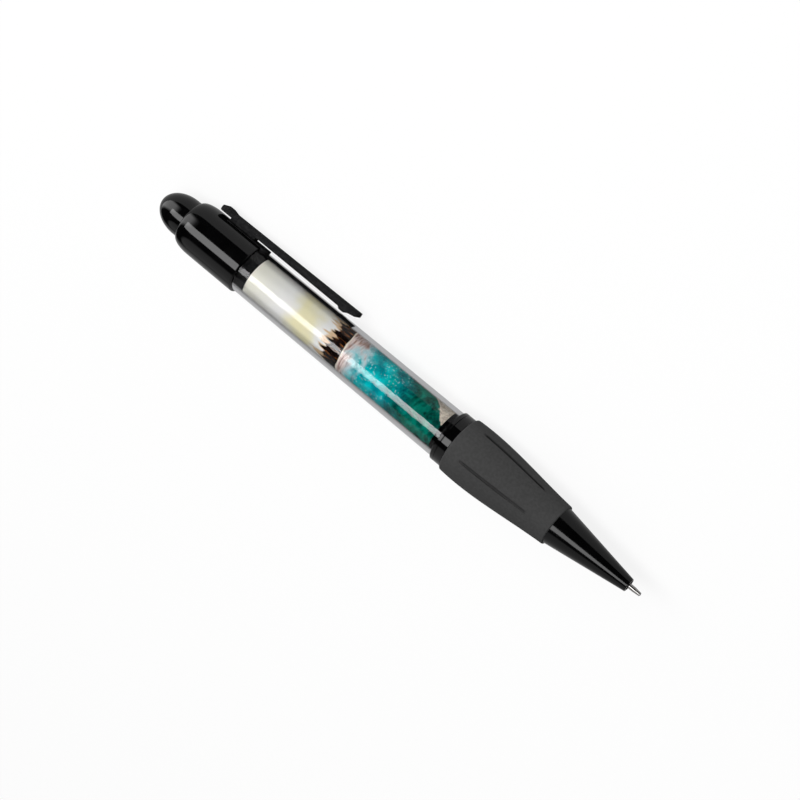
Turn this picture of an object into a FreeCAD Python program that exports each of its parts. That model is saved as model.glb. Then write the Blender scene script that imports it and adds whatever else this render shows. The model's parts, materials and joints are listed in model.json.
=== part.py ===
# Push-button ballpoint pen with a clear picture barrel, a soft grip and a pocket clip.
# All sizes are in millimetres. Each piece is first made along the pen's axis: x is 0 at the
# nose's mouth and grows towards the button, and the clip points up, to +Z. At the end the
# pen is rolled, tipped and moved as one, so that it lies on a table as it would come to rest.
import FreeCAD
import Part
import math
import os

# Nose cone
NOSE_LENGTH = 20.7
NOSE_MOUTH_RADIUS = 1.64
NOSE_REAR_RADIUS = 4.8
NOSE_EDGE_ROUND = 0.22
NOSE_MOUTH_DEPTH = 3.0
NOSE_THROAT_START = 5.0
NOSE_THROAT_RADIUS = 1.75
SPRING_SEAT = 8.6
SPRING_ROOM_RADIUS = 2.35
NOSE_STEM_RADIUS = 3.6
NOSE_STEM_LENGTH = 7.0

# Soft grip and the core that carries it
GRIP_LENGTH = 28.85
GRIP_FRONT_RADIUS = 5.22
GRIP_MIDDLE = 11.05
GRIP_MIDDLE_RADIUS = 6.26
GRIP_LARGEST_SETBACK = 4.1
GRIP_LARGEST_RADIUS = 7.17
GRIP_REAR_RADIUS = 7.02
GRIP_FRONT_WALL = 0.85
GRIP_REAR_WALL = 1.5
GRIP_FRONT_ROUND = 0.3
GRIP_REAR_ROUND = 0.4
CREASE_COUNT = 5
CREASE_FIRST_ANGLE = 41.0
CREASE_START = 6.1
CREASE_SETBACK = 4.0
CREASE_RADIUS = 0.4
CREASE_DEPTH = 0.2
CORE_BORE_RADIUS = 2.6
CORE_STRAIGHT_LENGTH = 6.0

# Black rings between the grip and the clear barrel
RING_RADIUS = 6.5
CORE_RING_LENGTH = 2.25
COLLAR_RING_LENGTH = 1.0
RING_BEVEL = 0.15
COLLAR_STEM_RADIUS = 3.95
COLLAR_STEM_LENGTH = 7.5
COLLAR_BORE_RADIUS = 2.2
COLLAR_PLUG_LENGTH = 1.35

# Clear barrel with the rolled picture and its liner
BARREL_FRONT_RADIUS = 6.0
BARREL_REAR_RADIUS = 5.8
BARREL_WALL = 0.9
PICTURE_THICKNESS = 0.15
PICTURE_SEAM = 0.3
LINER_WALL = 1.17
LINER_SPIGOT_LENGTH = 3.0

# Cap with its threaded coupling
CAP_LENGTH = 18.6
CAP_RADIUS = 6.4
CAP_SHOULDER_LENGTH = 4.4
CAP_WALL = 1.1
CAP_RIM_WIDTH = 0.12
CAP_LIP = 1.15
CAP_EDGE_ROUND = 0.4
COUPLING_PLUG_LENGTH = 2.9
COUPLING_AIR = 0.2

# Button, with the plunger that is moulded on it
BUTTON_STRAIGHT = 1.7
BUTTON_DOME = 7.0
BUTTON_OUT = 5.0
BUTTON_IN = 1.2
FLANGE_WIDTH = 0.35
FLANGE_THICKNESS = 0.8
PLUNGER_WALL = 1.15
PLUNGER_AIR = 0.15
PLUNGER_BORE_TOP_WALL = 2.5

# Cam sleeve and rotor
SLEEVE_LENGTH = 7.0
SLEEVE_WALL = 1.65
SLOT_COUNT = 4
SLOT_WIDTH = 1.5
SLOT_DEPTH = 0.85
TOOTHED_BEYOND_SLOTS = 0.3
TOOTH_COUNT = 8
TOOTH_HEIGHT = 1.2
CROWN_INNER_RADIUS = 0.9
ROTOR_AIR = 0.3
ROTOR_RIB_LENGTH = 2.6
ROTOR_RIB_SLOPE = 0.5
ROTOR_CUP_WALL = 0.92
ROTOR_SHAFT_LENGTH = 12.15
ROTOR_CUP_DEPTH = 2.5
ROTOR_PIN_LENGTH = 3.7

# Refill, its spring and its ball
REFILL_LENGTH = 107.0
TIP_OUT = 3.25
TIP_RADIUS = 1.15
TIP_SHOULDER_IN = 0.5
TIP_SHOULDER_LENGTH = 0.4
TIP_NECK_RADIUS = 0.62
TIP_NECK_LENGTH = 1.4
TIP_END_RADIUS = 0.44
TIP_BODY_LENGTH = 7.5
TIP_STUB_LENGTH = 4.0
TIP_CHANNEL_RADIUS = 0.3
BALL_RADIUS = 0.4
BALL_STANDS_OUT = 0.16
TUBE_RADIUS = 1.58
TUBE_BORE_RADIUS = 0.95
INK_HEADSPACE = 12.0
EARS_BEHIND_TIP = 11.4
EAR_LENGTH = 3.5
EAR_RADIUS = 2.1
EAR_THICKNESS = 0.8
SPRING_RADIUS = 1.95
SPRING_WIRE_RADIUS = 0.2
SPRING_WIRE_FLATS = 6
SPRING_TURNS = 7.0

# Clip
CLIP_WIDTH = 4.2
CLIP_REACH = 27.8
CLIP_HEAD_SETBACK = 4.8
CLIP_ABOVE_CAP = 0.65
CLIP_ARM_THICKNESS = 1.1
CLIP_END_THICKNESS = 1.57
CLIP_HEAD_THICKNESS = 1.45
CLIP_HEAD_FLARE_SETBACK = 3.3
CLIP_HEAD_FLARE_LENGTH = 1.5
CLIP_HEAD_ROUND = 0.4
CLIP_NUB_FROM_END = 3.5
CLIP_NUB_LENGTH = 2.2
CLIP_NUB_DEPTH = 0.42
CLIP_LIP_RISE = 0.45
CLIP_EDGE_ROUND = 0.3
WEB_WIDTH = 2.4
WEB_ABOVE_BARREL = 2.9
WEB_SETBACK = 0.25
FOOT_SETBACK = 2.95
FOOT_TAIL = 1.75
FOOT_STANDS_PROUD = 0.03

# Clearances: fixed pieces, sliding pieces, and where a travel stops
FIXED_FIT = 0.05
THIN_FIT = 0.03
BUTTON_FIT = 0.08
SLIDING_FIT = 0.1
PICTURE_AIR = 0.1
STOP_GAP = 0.1
RIB_GAP = 0.3
TOOL_OVERRUN = 2.0
SAME_PLACE = 1e-6

AXIS = FreeCAD.Vector(1, 0, 0)
ORIGIN = FreeCAD.Vector(0, 0, 0)

# Places along the axis. The pen is built round a standard refill, so the refill's length
# sets the place of the rotor, the cap and the barrel's rear end.
grip_end = NOSE_LENGTH + GRIP_LENGTH
grip_largest = grip_end - GRIP_LARGEST_SETBACK
collar_start = grip_end + CORE_RING_LENGTH
barrel_start = collar_start + COLLAR_RING_LENGTH
picture_start = barrel_start + COLLAR_PLUG_LENGTH
refill_end = REFILL_LENGTH - TIP_OUT
ball_centre = BALL_RADIUS - TIP_OUT
ear_start = TIP_BODY_LENGTH + EARS_BEHIND_TIP
rotor_rib_start = refill_end + ROTOR_SHAFT_LENGTH
rotor_rib_end = rotor_rib_start + ROTOR_RIB_LENGTH
plunger_start = rotor_rib_end + RIB_GAP
rotor_valley = plunger_start - SLIDING_FIT
coupling_floor = rotor_rib_start - BUTTON_IN - STOP_GAP
sleeve_start = plunger_start - TOOTH_HEIGHT
sleeve_end = sleeve_start + SLEEVE_LENGTH
flange_start = sleeve_end + BUTTON_IN + STOP_GAP
flange_end = flange_start + FLANGE_THICKNESS
cap_end = flange_end + BUTTON_OUT + STOP_GAP + CAP_LIP
barrel_end = cap_end - CAP_LENGTH
picture_end = min(barrel_end, coupling_floor) - COUPLING_PLUG_LENGTH
shoulder_start = cap_end - CAP_SHOULDER_LENGTH
dome_start = cap_end + BUTTON_STRAIGHT
clip_end = barrel_end - CLIP_REACH
clip_nub = clip_end + CLIP_NUB_FROM_END
clip_head = cap_end - CLIP_HEAD_SETBACK
clip_flare_start = clip_head - CLIP_HEAD_FLARE_SETBACK
foot_end = clip_head - FOOT_SETBACK
web_start = barrel_end + WEB_ABOVE_BARREL
web_end = foot_end - WEB_SETBACK

# Heights of the clip above the pen's axis
clip_underside = CAP_RADIUS + CLIP_ABOVE_CAP
clip_arm_top = clip_underside + CLIP_ARM_THICKNESS
clip_end_top = clip_underside + CLIP_END_THICKNESS
clip_head_top = clip_underside + CLIP_HEAD_THICKNESS

# Radii of pieces that fit one inside the other. The picture and its liner follow the clear
# barrel's taper, each at its own depth under the barrel's outside.
barrel_taper = (BARREL_REAR_RADIUS - BARREL_FRONT_RADIUS) / (barrel_end - barrel_start)
picture_depth = BARREL_WALL + PICTURE_AIR
liner_depth = picture_depth + PICTURE_THICKNESS + THIN_FIT
liner_bore = BARREL_REAR_RADIUS - liner_depth - LINER_WALL
cap_bore = CAP_RADIUS - CAP_WALL
flange_radius = cap_bore - SLIDING_FIT
button_radius = flange_radius - FLANGE_WIDTH
cap_hole = button_radius + BUTTON_FIT
sleeve_radius = cap_bore - FIXED_FIT
sleeve_bore = sleeve_radius - SLEEVE_WALL
slot_radius = sleeve_bore + SLOT_DEPTH
toothed_radius = slot_radius + TOOTHED_BEYOND_SLOTS
plunger_radius = sleeve_bore - PLUNGER_AIR
plunger_bore = plunger_radius - PLUNGER_WALL
rotor_radius = sleeve_bore - ROTOR_AIR
rotor_cup_bore = TUBE_RADIUS + SLIDING_FIT
rotor_shaft_radius = rotor_cup_bore + ROTOR_CUP_WALL
coupling_bore = rotor_shaft_radius + COUPLING_AIR


def turned(outline):
    """A solid turned about the pen's axis from a closed outline of (x, radius) corners."""
    corners = [FreeCAD.Vector(x, 0, radius) for x, radius in outline]
    return Part.Face(Part.makePolygon(corners + corners[:1])).revolve(ORIGIN, AXIS, 360)


def turned_edges(edges):
    """A solid turned about the pen's axis from the edges of a closed outline."""
    return Part.Face(Part.Wire(Part.__sortEdges__(edges))).revolve(ORIGIN, AXIS, 360)


def line(start, end):
    """A straight edge between two (x, radius) corners."""
    return Part.makeLine(FreeCAD.Vector(start[0], 0, start[1]), FreeCAD.Vector(end[0], 0, end[1]))


def quarter_oval(start, end):
    """A quarter of an oval that leaves start along the axis and meets end square to it."""
    centre = FreeCAD.Vector(start[0], 0, end[1])
    far = FreeCAD.Vector(end[0], 0, end[1])
    high = FreeCAD.Vector(start[0], 0, start[1])
    return Part.ArcOfEllipse(Part.Ellipse(far, high, centre), 0, math.pi / 2).toShape()


def rod(start, end, radius):
    return Part.makeCylinder(radius, end - start, FreeCAD.Vector(start, 0, 0), AXIS)


def tube(start, end, outer, inner):
    return rod(start, end, outer).cut(rod(start - TOOL_OVERRUN, end + TOOL_OVERRUN, inner))


def around(shape, angle):
    """A copy turned about the pen's axis by an angle in degrees."""
    copy = shape.copy()
    copy.rotate(ORIGIN, AXIS, angle)
    return copy


def ring_of(shape, count, first=0.0):
    """Copies evenly spaced round the pen's axis."""
    return [around(shape, first + step * 360.0 / count) for step in range(count)]


def radial_prism(outline, inner, outer):
    """An outline of (x, y) corners at the outer radius, drawn to the axis's direction.

    Its sides point at the axis, so that it covers the same angle at each radius.
    """
    wires = []
    for radius in (inner, outer):
        share = radius / outer
        corners = [FreeCAD.Vector(x, y * share, radius) for x, y in outline]
        wires.append(Part.makePolygon(corners + corners[:1]))
    return Part.makeLoft(wires, True, True)


def straight_rib(outline, inner, outer):
    """An outline of (x, y) corners drawn out from the inner to the outer radius."""
    corners = [FreeCAD.Vector(x, y, inner) for x, y in outline]
    face = Part.Face(Part.makePolygon(corners + corners[:1]))
    return face.extrude(FreeCAD.Vector(0, 0, outer - inner))


def crown_cutters(start, direction, outer, slanted, first):
    """The gaps between the teeth of a crown whose tips are at start.

    The gaps deepen towards direction. Slanted ones are saw teeth, the others are even.
    """
    half = outer * math.tan(math.pi / TOOTH_COUNT)
    mouth = start - direction * TOOL_OVERRUN
    depth = start + direction * TOOTH_HEIGHT
    outline = [(mouth, -half), (mouth, half)]
    if slanted:
        outline += [(depth, half), (start, -half)]
    else:
        outline += [(start, half), (depth, 0), (start, -half)]
    gap = radial_prism(outline, CROWN_INNER_RADIUS, outer)
    return ring_of(gap, TOOTH_COUNT, first)


def nose_cone():
    stem_end = NOSE_LENGTH + NOSE_STEM_LENGTH
    body = turned([
        (0, TIP_RADIUS + SLIDING_FIT),
        (0, NOSE_MOUTH_RADIUS),
        (NOSE_LENGTH, NOSE_REAR_RADIUS),
        (NOSE_LENGTH, NOSE_STEM_RADIUS),
        (stem_end, NOSE_STEM_RADIUS),
        (stem_end, SPRING_ROOM_RADIUS),
        (SPRING_SEAT, SPRING_ROOM_RADIUS),
        (SPRING_SEAT, NOSE_THROAT_RADIUS),
        (NOSE_THROAT_START, NOSE_THROAT_RADIUS),
        (NOSE_MOUTH_DEPTH, TIP_RADIUS + SLIDING_FIT),
    ])
    return rounded_rim(body, 0, NOSE_MOUTH_RADIUS, NOSE_EDGE_ROUND)


def rounded_rim(body, x, radius, size):
    """Rounds the round edge of a turned body that has this place and radius."""
    rims = []
    for edge in body.Edges:
        curve = edge.Curve
        if isinstance(curve, Part.Circle) and edge.isClosed():
            if abs(curve.Radius - radius) < SAME_PLACE and abs(curve.Center.x - x) < SAME_PLACE:
                rims.append(edge)
    return body.makeFillet(size, rims)


def grip_surface_radius(x):
    """The grip's outer radius at a place along the pen."""
    curve = grip_curve()
    return curve.value(curve.parameter(FreeCAD.Vector(x, 0, GRIP_MIDDLE_RADIUS))).z


def grip_curve():
    points = [
        FreeCAD.Vector(NOSE_LENGTH, 0, GRIP_FRONT_RADIUS),
        FreeCAD.Vector(NOSE_LENGTH + GRIP_MIDDLE, 0, GRIP_MIDDLE_RADIUS),
        FreeCAD.Vector(grip_largest, 0, GRIP_LARGEST_RADIUS),
        FreeCAD.Vector(grip_end, 0, GRIP_REAR_RADIUS),
    ]
    curve = Part.BSplineCurve()
    curve.interpolate(points)
    return curve


def core_outline():
    """The core's outside under the grip, from its front end to the ring."""
    rear = GRIP_REAR_RADIUS - GRIP_REAR_WALL
    return [
        (NOSE_LENGTH, GRIP_FRONT_RADIUS - GRIP_FRONT_WALL),
        (grip_end - CORE_STRAIGHT_LENGTH, rear),
        (grip_end, rear),
    ]


def crease():
    """What cuts a shallow lengthwise crease into the grip."""
    front = NOSE_LENGTH + CREASE_START
    rear = grip_end - CREASE_SETBACK
    lift = CREASE_RADIUS - CREASE_DEPTH
    start = FreeCAD.Vector(front, 0, grip_surface_radius(front) + lift)
    end = FreeCAD.Vector(rear, 0, grip_surface_radius(rear) + lift)
    return Part.makeCylinder(CREASE_RADIUS, (end - start).Length, start, end - start)


def grip_sleeve():
    inside = core_outline()
    edges = [grip_curve().toShape()]
    edges.append(line((grip_end, GRIP_REAR_RADIUS), inside[2]))
    edges.append(line(inside[2], inside[1]))
    edges.append(line(inside[1], inside[0]))
    edges.append(line(inside[0], (NOSE_LENGTH, GRIP_FRONT_RADIUS)))
    body = turned_edges(edges)
    body = rounded_rim(body, NOSE_LENGTH, GRIP_FRONT_RADIUS, GRIP_FRONT_ROUND)
    body = rounded_rim(body, grip_end, GRIP_REAR_RADIUS, GRIP_REAR_ROUND)
    return body.cut(ring_of(crease(), CREASE_COUNT, CREASE_FIRST_ANGLE))


def grip_core():
    stem_end = NOSE_LENGTH + NOSE_STEM_LENGTH
    stem_radius = NOSE_STEM_RADIUS + FIXED_FIT
    seat_start = collar_start - COLLAR_STEM_LENGTH
    seat_radius = COLLAR_STEM_RADIUS + FIXED_FIT
    return turned([
        (NOSE_LENGTH, stem_radius),
        *core_outline(),
        (grip_end, RING_RADIUS - RING_BEVEL),
        (grip_end + RING_BEVEL, RING_RADIUS),
        (collar_start - RING_BEVEL, RING_RADIUS),
        (collar_start, RING_RADIUS - RING_BEVEL),
        (collar_start, seat_radius),
        (seat_start, seat_radius),
        (seat_start, CORE_BORE_RADIUS),
        (stem_end, CORE_BORE_RADIUS),
        (stem_end, stem_radius),
    ])


def lower_collar():
    plug_radius = under_barrel(picture_start, BARREL_WALL) - THIN_FIT
    spigot_radius = liner_bore - FIXED_FIT
    stem_start = collar_start - COLLAR_STEM_LENGTH + STOP_GAP
    spigot_end = picture_start + LINER_SPIGOT_LENGTH
    return turned([
        (stem_start, COLLAR_BORE_RADIUS),
        (stem_start, COLLAR_STEM_RADIUS),
        (collar_start, COLLAR_STEM_RADIUS),
        (collar_start, RING_RADIUS - RING_BEVEL),
        (collar_start + RING_BEVEL, RING_RADIUS),
        (barrel_start - RING_BEVEL, RING_RADIUS),
        (barrel_start, RING_RADIUS - RING_BEVEL),
        (barrel_start, plug_radius),
        (picture_start, plug_radius),
        (picture_start, spigot_radius),
        (spigot_end, spigot_radius),
        (spigot_end, COLLAR_BORE_RADIUS),
    ])


def under_barrel(x, depth):
    """The radius that lies this deep under the clear barrel's outside, at a place along it."""
    return BARREL_FRONT_RADIUS + barrel_taper * (x - barrel_start) - depth


def tapered_layer(start, end, outer_depth, inner_depth):
    """A thin tube between two depths under the clear barrel's outside."""
    return turned([
        (start, under_barrel(start, inner_depth)),
        (start, under_barrel(start, outer_depth)),
        (end, under_barrel(end, outer_depth)),
        (end, under_barrel(end, inner_depth)),
    ])


def clear_barrel():
    return tapered_layer(barrel_start, barrel_end, 0.0, BARREL_WALL)


def picture_insert():
    """A rolled sheet whose edges meet in a narrow seam on the side away from the view."""
    start = picture_start + FIXED_FIT
    end = picture_end - FIXED_FIT
    sheet = tapered_layer(start, end, picture_depth, picture_depth + PICTURE_THICKNESS)
    widest = under_barrel(start, picture_depth)
    corner = FreeCAD.Vector(start, -widest - TOOL_OVERRUN, -PICTURE_SEAM / 2)
    depth = PICTURE_THICKNESS + 2 * TOOL_OVERRUN
    return sheet.cut(Part.makeBox(end - start, depth, PICTURE_SEAM, corner))


def core_tube():
    """The white liner: tapered outside to hold the sheet open, straight inside."""
    return turned([
        (picture_start, liner_bore),
        (picture_start, under_barrel(picture_start, liner_depth)),
        (picture_end, under_barrel(picture_end, liner_depth)),
        (picture_end, liner_bore),
    ])


def top_coupling():
    plug_radius = under_barrel(barrel_end, BARREL_WALL) - THIN_FIT
    spigot_radius = liner_bore - FIXED_FIT
    spigot_start = picture_end - LINER_SPIGOT_LENGTH
    thread_radius = cap_bore - FIXED_FIT
    rotor_room = slot_radius + FIXED_FIT
    return turned([
        (spigot_start, coupling_bore),
        (spigot_start, spigot_radius),
        (picture_end, spigot_radius),
        (picture_end, plug_radius),
        (barrel_end, plug_radius),
        (barrel_end, thread_radius),
        (sleeve_start, thread_radius),
        (sleeve_start, rotor_room),
        (coupling_floor, rotor_room),
        (coupling_floor, coupling_bore),
    ])


def cap_shell():
    lip_start = cap_end - CAP_LIP
    corners = [
        (cap_end, cap_hole + CAP_RIM_WIDTH),
        (cap_end, cap_hole),
        (lip_start, cap_hole),
        (lip_start, cap_bore),
        (barrel_end, cap_bore),
        (barrel_end, CAP_RADIUS),
        (shoulder_start, CAP_RADIUS),
    ]
    edges = [line(start, end) for start, end in zip(corners, corners[1:])]
    edges.append(quarter_oval(corners[-1], corners[0]))
    window = foot_plan(FIXED_FIT).extrude(FreeCAD.Vector(0, 0, CAP_RADIUS + TOOL_OVERRUN))
    body = rounded_rim(turned_edges(edges), barrel_end, CAP_RADIUS, CAP_EDGE_ROUND)
    return body.cut(window)


def foot_plan(clearance):
    """The clip foot's outline seen from above, with a round tail, grown by a clearance."""
    half = CLIP_WIDTH / 2 + clearance
    tail_centre = barrel_end - FOOT_TAIL + CLIP_WIDTH / 2
    length = foot_end + clearance - tail_centre
    plate = Part.makePlane(length, 2 * half, FreeCAD.Vector(tail_centre, -half, 0))
    tail = Part.Face(Part.Wire(Part.makeCircle(half, FreeCAD.Vector(tail_centre, 0, 0))))
    return plate.fuse(tail).removeSplitter()


def clip_foot():
    """The curved plate that fills the cap's window and hooks over the barrel's end."""
    outer = CAP_RADIUS + FOOT_STANDS_PROUD
    inner = cap_bore + FIXED_FIT
    start = barrel_end - FOOT_TAIL
    plate = tube(start, foot_end, outer, inner)
    plate = plate.common(foot_plan(0.0).extrude(FreeCAD.Vector(0, 0, outer + TOOL_OVERRUN)))
    over_barrel = rod(start - TOOL_OVERRUN, barrel_end + FIXED_FIT, BARREL_REAR_RADIUS + FIXED_FIT)
    return plate.cut(over_barrel)


def clip_arm():
    """The arm's side outline, drawn across its width, with its long edges rounded."""
    nub_start = clip_nub - CLIP_NUB_LENGTH / 2
    nub_end = clip_nub + CLIP_NUB_LENGTH / 2
    nub_slope = CLIP_NUB_DEPTH
    outline = [
        (clip_end, clip_underside + CLIP_LIP_RISE),
        (clip_end, clip_end_top),
        (clip_flare_start, clip_arm_top),
        (clip_flare_start + CLIP_HEAD_FLARE_LENGTH, clip_head_top),
        (clip_head, clip_head_top),
        (clip_head, clip_underside),
        (nub_end, clip_underside),
        (nub_end - nub_slope, clip_underside - CLIP_NUB_DEPTH),
        (nub_start + nub_slope, clip_underside - CLIP_NUB_DEPTH),
        (nub_start, clip_underside),
    ]
    corners = [FreeCAD.Vector(x, -CLIP_WIDTH / 2, height) for x, height in outline]
    side = Part.Face(Part.makePolygon(corners + corners[:1]))
    arm = side.extrude(FreeCAD.Vector(0, CLIP_WIDTH, 0))
    head_edges = [edge for edge in arm.Edges if is_across(edge, clip_head)]
    arm = arm.makeFillet(CLIP_HEAD_ROUND, head_edges)
    top_edges = [edge for edge in arm.Edges if is_top_edge(edge)]
    return arm.makeFillet(CLIP_EDGE_ROUND, top_edges)


def is_across(edge, x):
    """Whether an edge runs across the arm at this place."""
    box = edge.BoundBox
    return box.YLength > CLIP_WIDTH / 2 and abs(box.XMin - x) < SAME_PLACE and box.XLength < SAME_PLACE


def is_top_edge(edge):
    """Whether an edge runs along the arm's upper side."""
    box = edge.BoundBox
    is_high = box.ZMin > clip_arm_top - SAME_PLACE
    return is_high and box.YLength < SAME_PLACE and box.XLength > CLIP_HEAD_ROUND


def pocket_clip():
    root = CAP_RADIUS - FOOT_STANDS_PROUD
    corner = FreeCAD.Vector(web_start, -WEB_WIDTH / 2, root)
    height = clip_underside + FOOT_STANDS_PROUD - root
    web = Part.makeBox(web_end - web_start, WEB_WIDTH, height, corner)
    return clip_arm().fuse([web, clip_foot()]).removeSplitter()


def push_button():
    """Dome, skirt, stop flange and plunger in one moulding."""
    bore_end = dome_start + BUTTON_DOME - PLUNGER_BORE_TOP_WALL - BUTTON_STRAIGHT
    top = (dome_start + BUTTON_DOME, 0)
    corners = [
        top,
        (bore_end, 0),
        (bore_end, plunger_bore),
        (plunger_start, plunger_bore),
        (plunger_start, plunger_radius),
        (flange_start, plunger_radius),
        (flange_start, flange_radius),
        (flange_end, flange_radius),
        (flange_end, button_radius),
        (dome_start, button_radius),
    ]
    edges = [line(start, end) for start, end in zip(corners, corners[1:])]
    edges.append(quarter_oval(corners[-1], top))
    half = SLOT_WIDTH / 2 - SLIDING_FIT
    outline = [
        (plunger_start, -half),
        (plunger_start, half),
        (flange_start, half),
        (flange_start, -half),
    ]
    inner = (plunger_bore + plunger_radius) / 2
    guide = straight_rib(outline, inner, slot_radius - SLIDING_FIT)
    guides = ring_of(guide, SLOT_COUNT, 180.0 / TOOTH_COUNT)
    body = turned_edges(edges).fuse(guides).removeSplitter()
    return body.cut(crown_cutters(plunger_start, 1, sleeve_bore, False, 0.0))


def cam_sleeve():
    """Guide slots right through, and saw teeth on the inner wall's lower end."""
    body = tube(sleeve_start, sleeve_end, sleeve_radius, sleeve_bore)
    teeth = crown_cutters(sleeve_start, 1, toothed_radius, True, 0.0)
    body = body.cut(teeth)
    half = SLOT_WIDTH / 2
    outline = [
        (sleeve_start - TOOL_OVERRUN, -half),
        (sleeve_start - TOOL_OVERRUN, half),
        (sleeve_end + TOOL_OVERRUN, half),
        (sleeve_end + TOOL_OVERRUN, -half),
    ]
    slot = straight_rib(outline, plunger_bore, slot_radius)
    return body.cut(ring_of(slot, SLOT_COUNT, 180.0 / TOOTH_COUNT))


def rotor_cam():
    """Cup for the refill, shaft, four sloped ribs, a crown of teeth and a centring pin."""
    cup_start = refill_end - ROTOR_CUP_DEPTH
    cup_floor = refill_end + FIXED_FIT
    crown_end = rotor_valley + TOOTH_HEIGHT
    body = turned([
        (cup_start, rotor_cup_bore),
        (cup_start, rotor_shaft_radius),
        (rotor_rib_start, rotor_shaft_radius),
        (rotor_rib_start, rotor_radius),
        (crown_end, rotor_radius),
        (crown_end, 0),
        (cup_floor, 0),
        (cup_floor, rotor_cup_bore),
    ])
    body = body.cut(crown_cutters(crown_end, -1, sleeve_bore, False, 180.0 / TOOTH_COUNT))
    pin = rod(rotor_rib_start, crown_end - TOOTH_HEIGHT + ROTOR_PIN_LENGTH,
              plunger_bore - SLIDING_FIT)
    half = SLOT_WIDTH / 2 - SLIDING_FIT
    outline = [
        (rotor_rib_start, -half),
        (rotor_rib_start, half),
        (rotor_rib_end, half),
        (rotor_rib_end - ROTOR_RIB_SLOPE, -half),
    ]
    rib = straight_rib(outline, plunger_bore, slot_radius - SLIDING_FIT)
    ribs = ring_of(rib, SLOT_COUNT, 180.0 / TOOTH_COUNT)
    return body.fuse([pin] + ribs).removeSplitter()


def refill_tube():
    """Ink tube with two pinched ears, which the spring pushes back."""
    front = TIP_BODY_LENGTH
    body = tube(front, refill_end, TUBE_RADIUS, TUBE_BORE_RADIUS)
    inner = (TUBE_RADIUS + TUBE_BORE_RADIUS) / 2
    corners = [
        FreeCAD.Vector(ear_start, -EAR_THICKNESS / 2, inner),
        FreeCAD.Vector(ear_start, -EAR_THICKNESS / 2, EAR_RADIUS),
        FreeCAD.Vector(ear_start + EAR_LENGTH, -EAR_THICKNESS / 2, inner),
    ]
    side = Part.Face(Part.makePolygon(corners + corners[:1]))
    ear = side.extrude(FreeCAD.Vector(0, EAR_THICKNESS, 0))
    return body.fuse(ring_of(ear, 2)).removeSplitter()


def ink_column():
    start = TIP_BODY_LENGTH + TIP_STUB_LENGTH
    return rod(start, refill_end - INK_HEADSPACE, TUBE_BORE_RADIUS - THIN_FIT)


def refill_tip():
    """Turned metal tip with a shouldered neck, an ink channel and a socket for the ball."""
    neck_start = TIP_SHOULDER_IN - TIP_SHOULDER_LENGTH
    neck_end = neck_start - TIP_NECK_LENGTH
    rim = BALL_STANDS_OUT + ball_centre - BALL_RADIUS
    stub_end = TIP_BODY_LENGTH + TIP_STUB_LENGTH
    body = turned([
        (rim, 0),
        (rim, TIP_END_RADIUS),
        (neck_end, TIP_NECK_RADIUS),
        (neck_start, TIP_NECK_RADIUS),
        (TIP_SHOULDER_IN, TIP_RADIUS),
        (TIP_BODY_LENGTH, TIP_RADIUS),
        (TIP_BODY_LENGTH, TUBE_BORE_RADIUS),
        (stub_end, TUBE_BORE_RADIUS),
        (stub_end, 0),
    ])
    socket = Part.makeSphere(BALL_RADIUS + THIN_FIT, FreeCAD.Vector(ball_centre, 0, 0))
    channel = rod(ball_centre, stub_end + TOOL_OVERRUN, TIP_CHANNEL_RADIUS)
    return body.cut([socket, channel])


def writing_ball():
    return Part.makeSphere(BALL_RADIUS, FreeCAD.Vector(ball_centre, 0, 0))


def return_spring():
    """Wire wound between the nose's seat and the ears, with its ends ground flat.

    The wire's section has a few flats instead of a true circle, which nothing touches.
    """
    length = ear_start - FIXED_FIT - SPRING_SEAT
    pitch = length / SPRING_TURNS
    helix = Part.makeHelix(pitch, length + pitch, SPRING_RADIUS)
    start = FreeCAD.Vector(SPRING_RADIUS, 0, 0)
    corners = []
    for step in range(SPRING_WIRE_FLATS):
        angle = 2 * math.pi * step / SPRING_WIRE_FLATS
        corners.append(start + FreeCAD.Vector(math.cos(angle), 0, math.sin(angle)) * SPRING_WIRE_RADIUS)
    section = Part.makePolygon(corners + corners[:1])
    coil = helix.makePipeShell([section], True, True)
    coil.translate(FreeCAD.Vector(0, 0, -pitch / 2))
    coil.rotate(ORIGIN, FreeCAD.Vector(0, 1, 0), 90)
    coil.translate(FreeCAD.Vector(SPRING_SEAT, 0, 0))
    return coil.common(rod(SPRING_SEAT, SPRING_SEAT + length, SPRING_ROOM_RADIUS))


def lying_placement():
    """Rolls the pen until the clip's head is on the table, and tips it until grip and cap are."""
    drop = GRIP_LARGEST_RADIUS - CAP_RADIUS
    tip_angle = math.atan2(drop, shoulder_start - grip_largest)
    up = clip_head_top - CLIP_EDGE_ROUND
    side = CLIP_WIDTH / 2 - CLIP_EDGE_ROUND
    axis_height = CAP_RADIUS + (shoulder_start - clip_head) * math.sin(tip_angle)
    below = math.asin((axis_height - CLIP_EDGE_ROUND) / math.hypot(up, side))
    roll = 90.0 + math.degrees(below - math.atan2(side, up))
    turn = FreeCAD.Rotation(FreeCAD.Vector(0, 1, 0), math.degrees(tip_angle))
    return FreeCAD.Placement(ORIGIN, turn.multiply(FreeCAD.Rotation(AXIS, roll)))


def laid_down(pieces):
    """Every piece on the table, with the middle of the whole pen's footprint at the origin."""
    placement = lying_placement()
    laid = {}
    for name, shape in pieces.items():
        laid[name] = shape.transformed(placement.toMatrix(), True)
    box = Part.makeCompound(list(laid.values())).optimalBoundingBox(False, False)
    shift = FreeCAD.Vector(-box.Center.x, -box.Center.y, -box.ZMin)
    for shape in laid.values():
        shape.translate(shift)
    return laid


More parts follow.
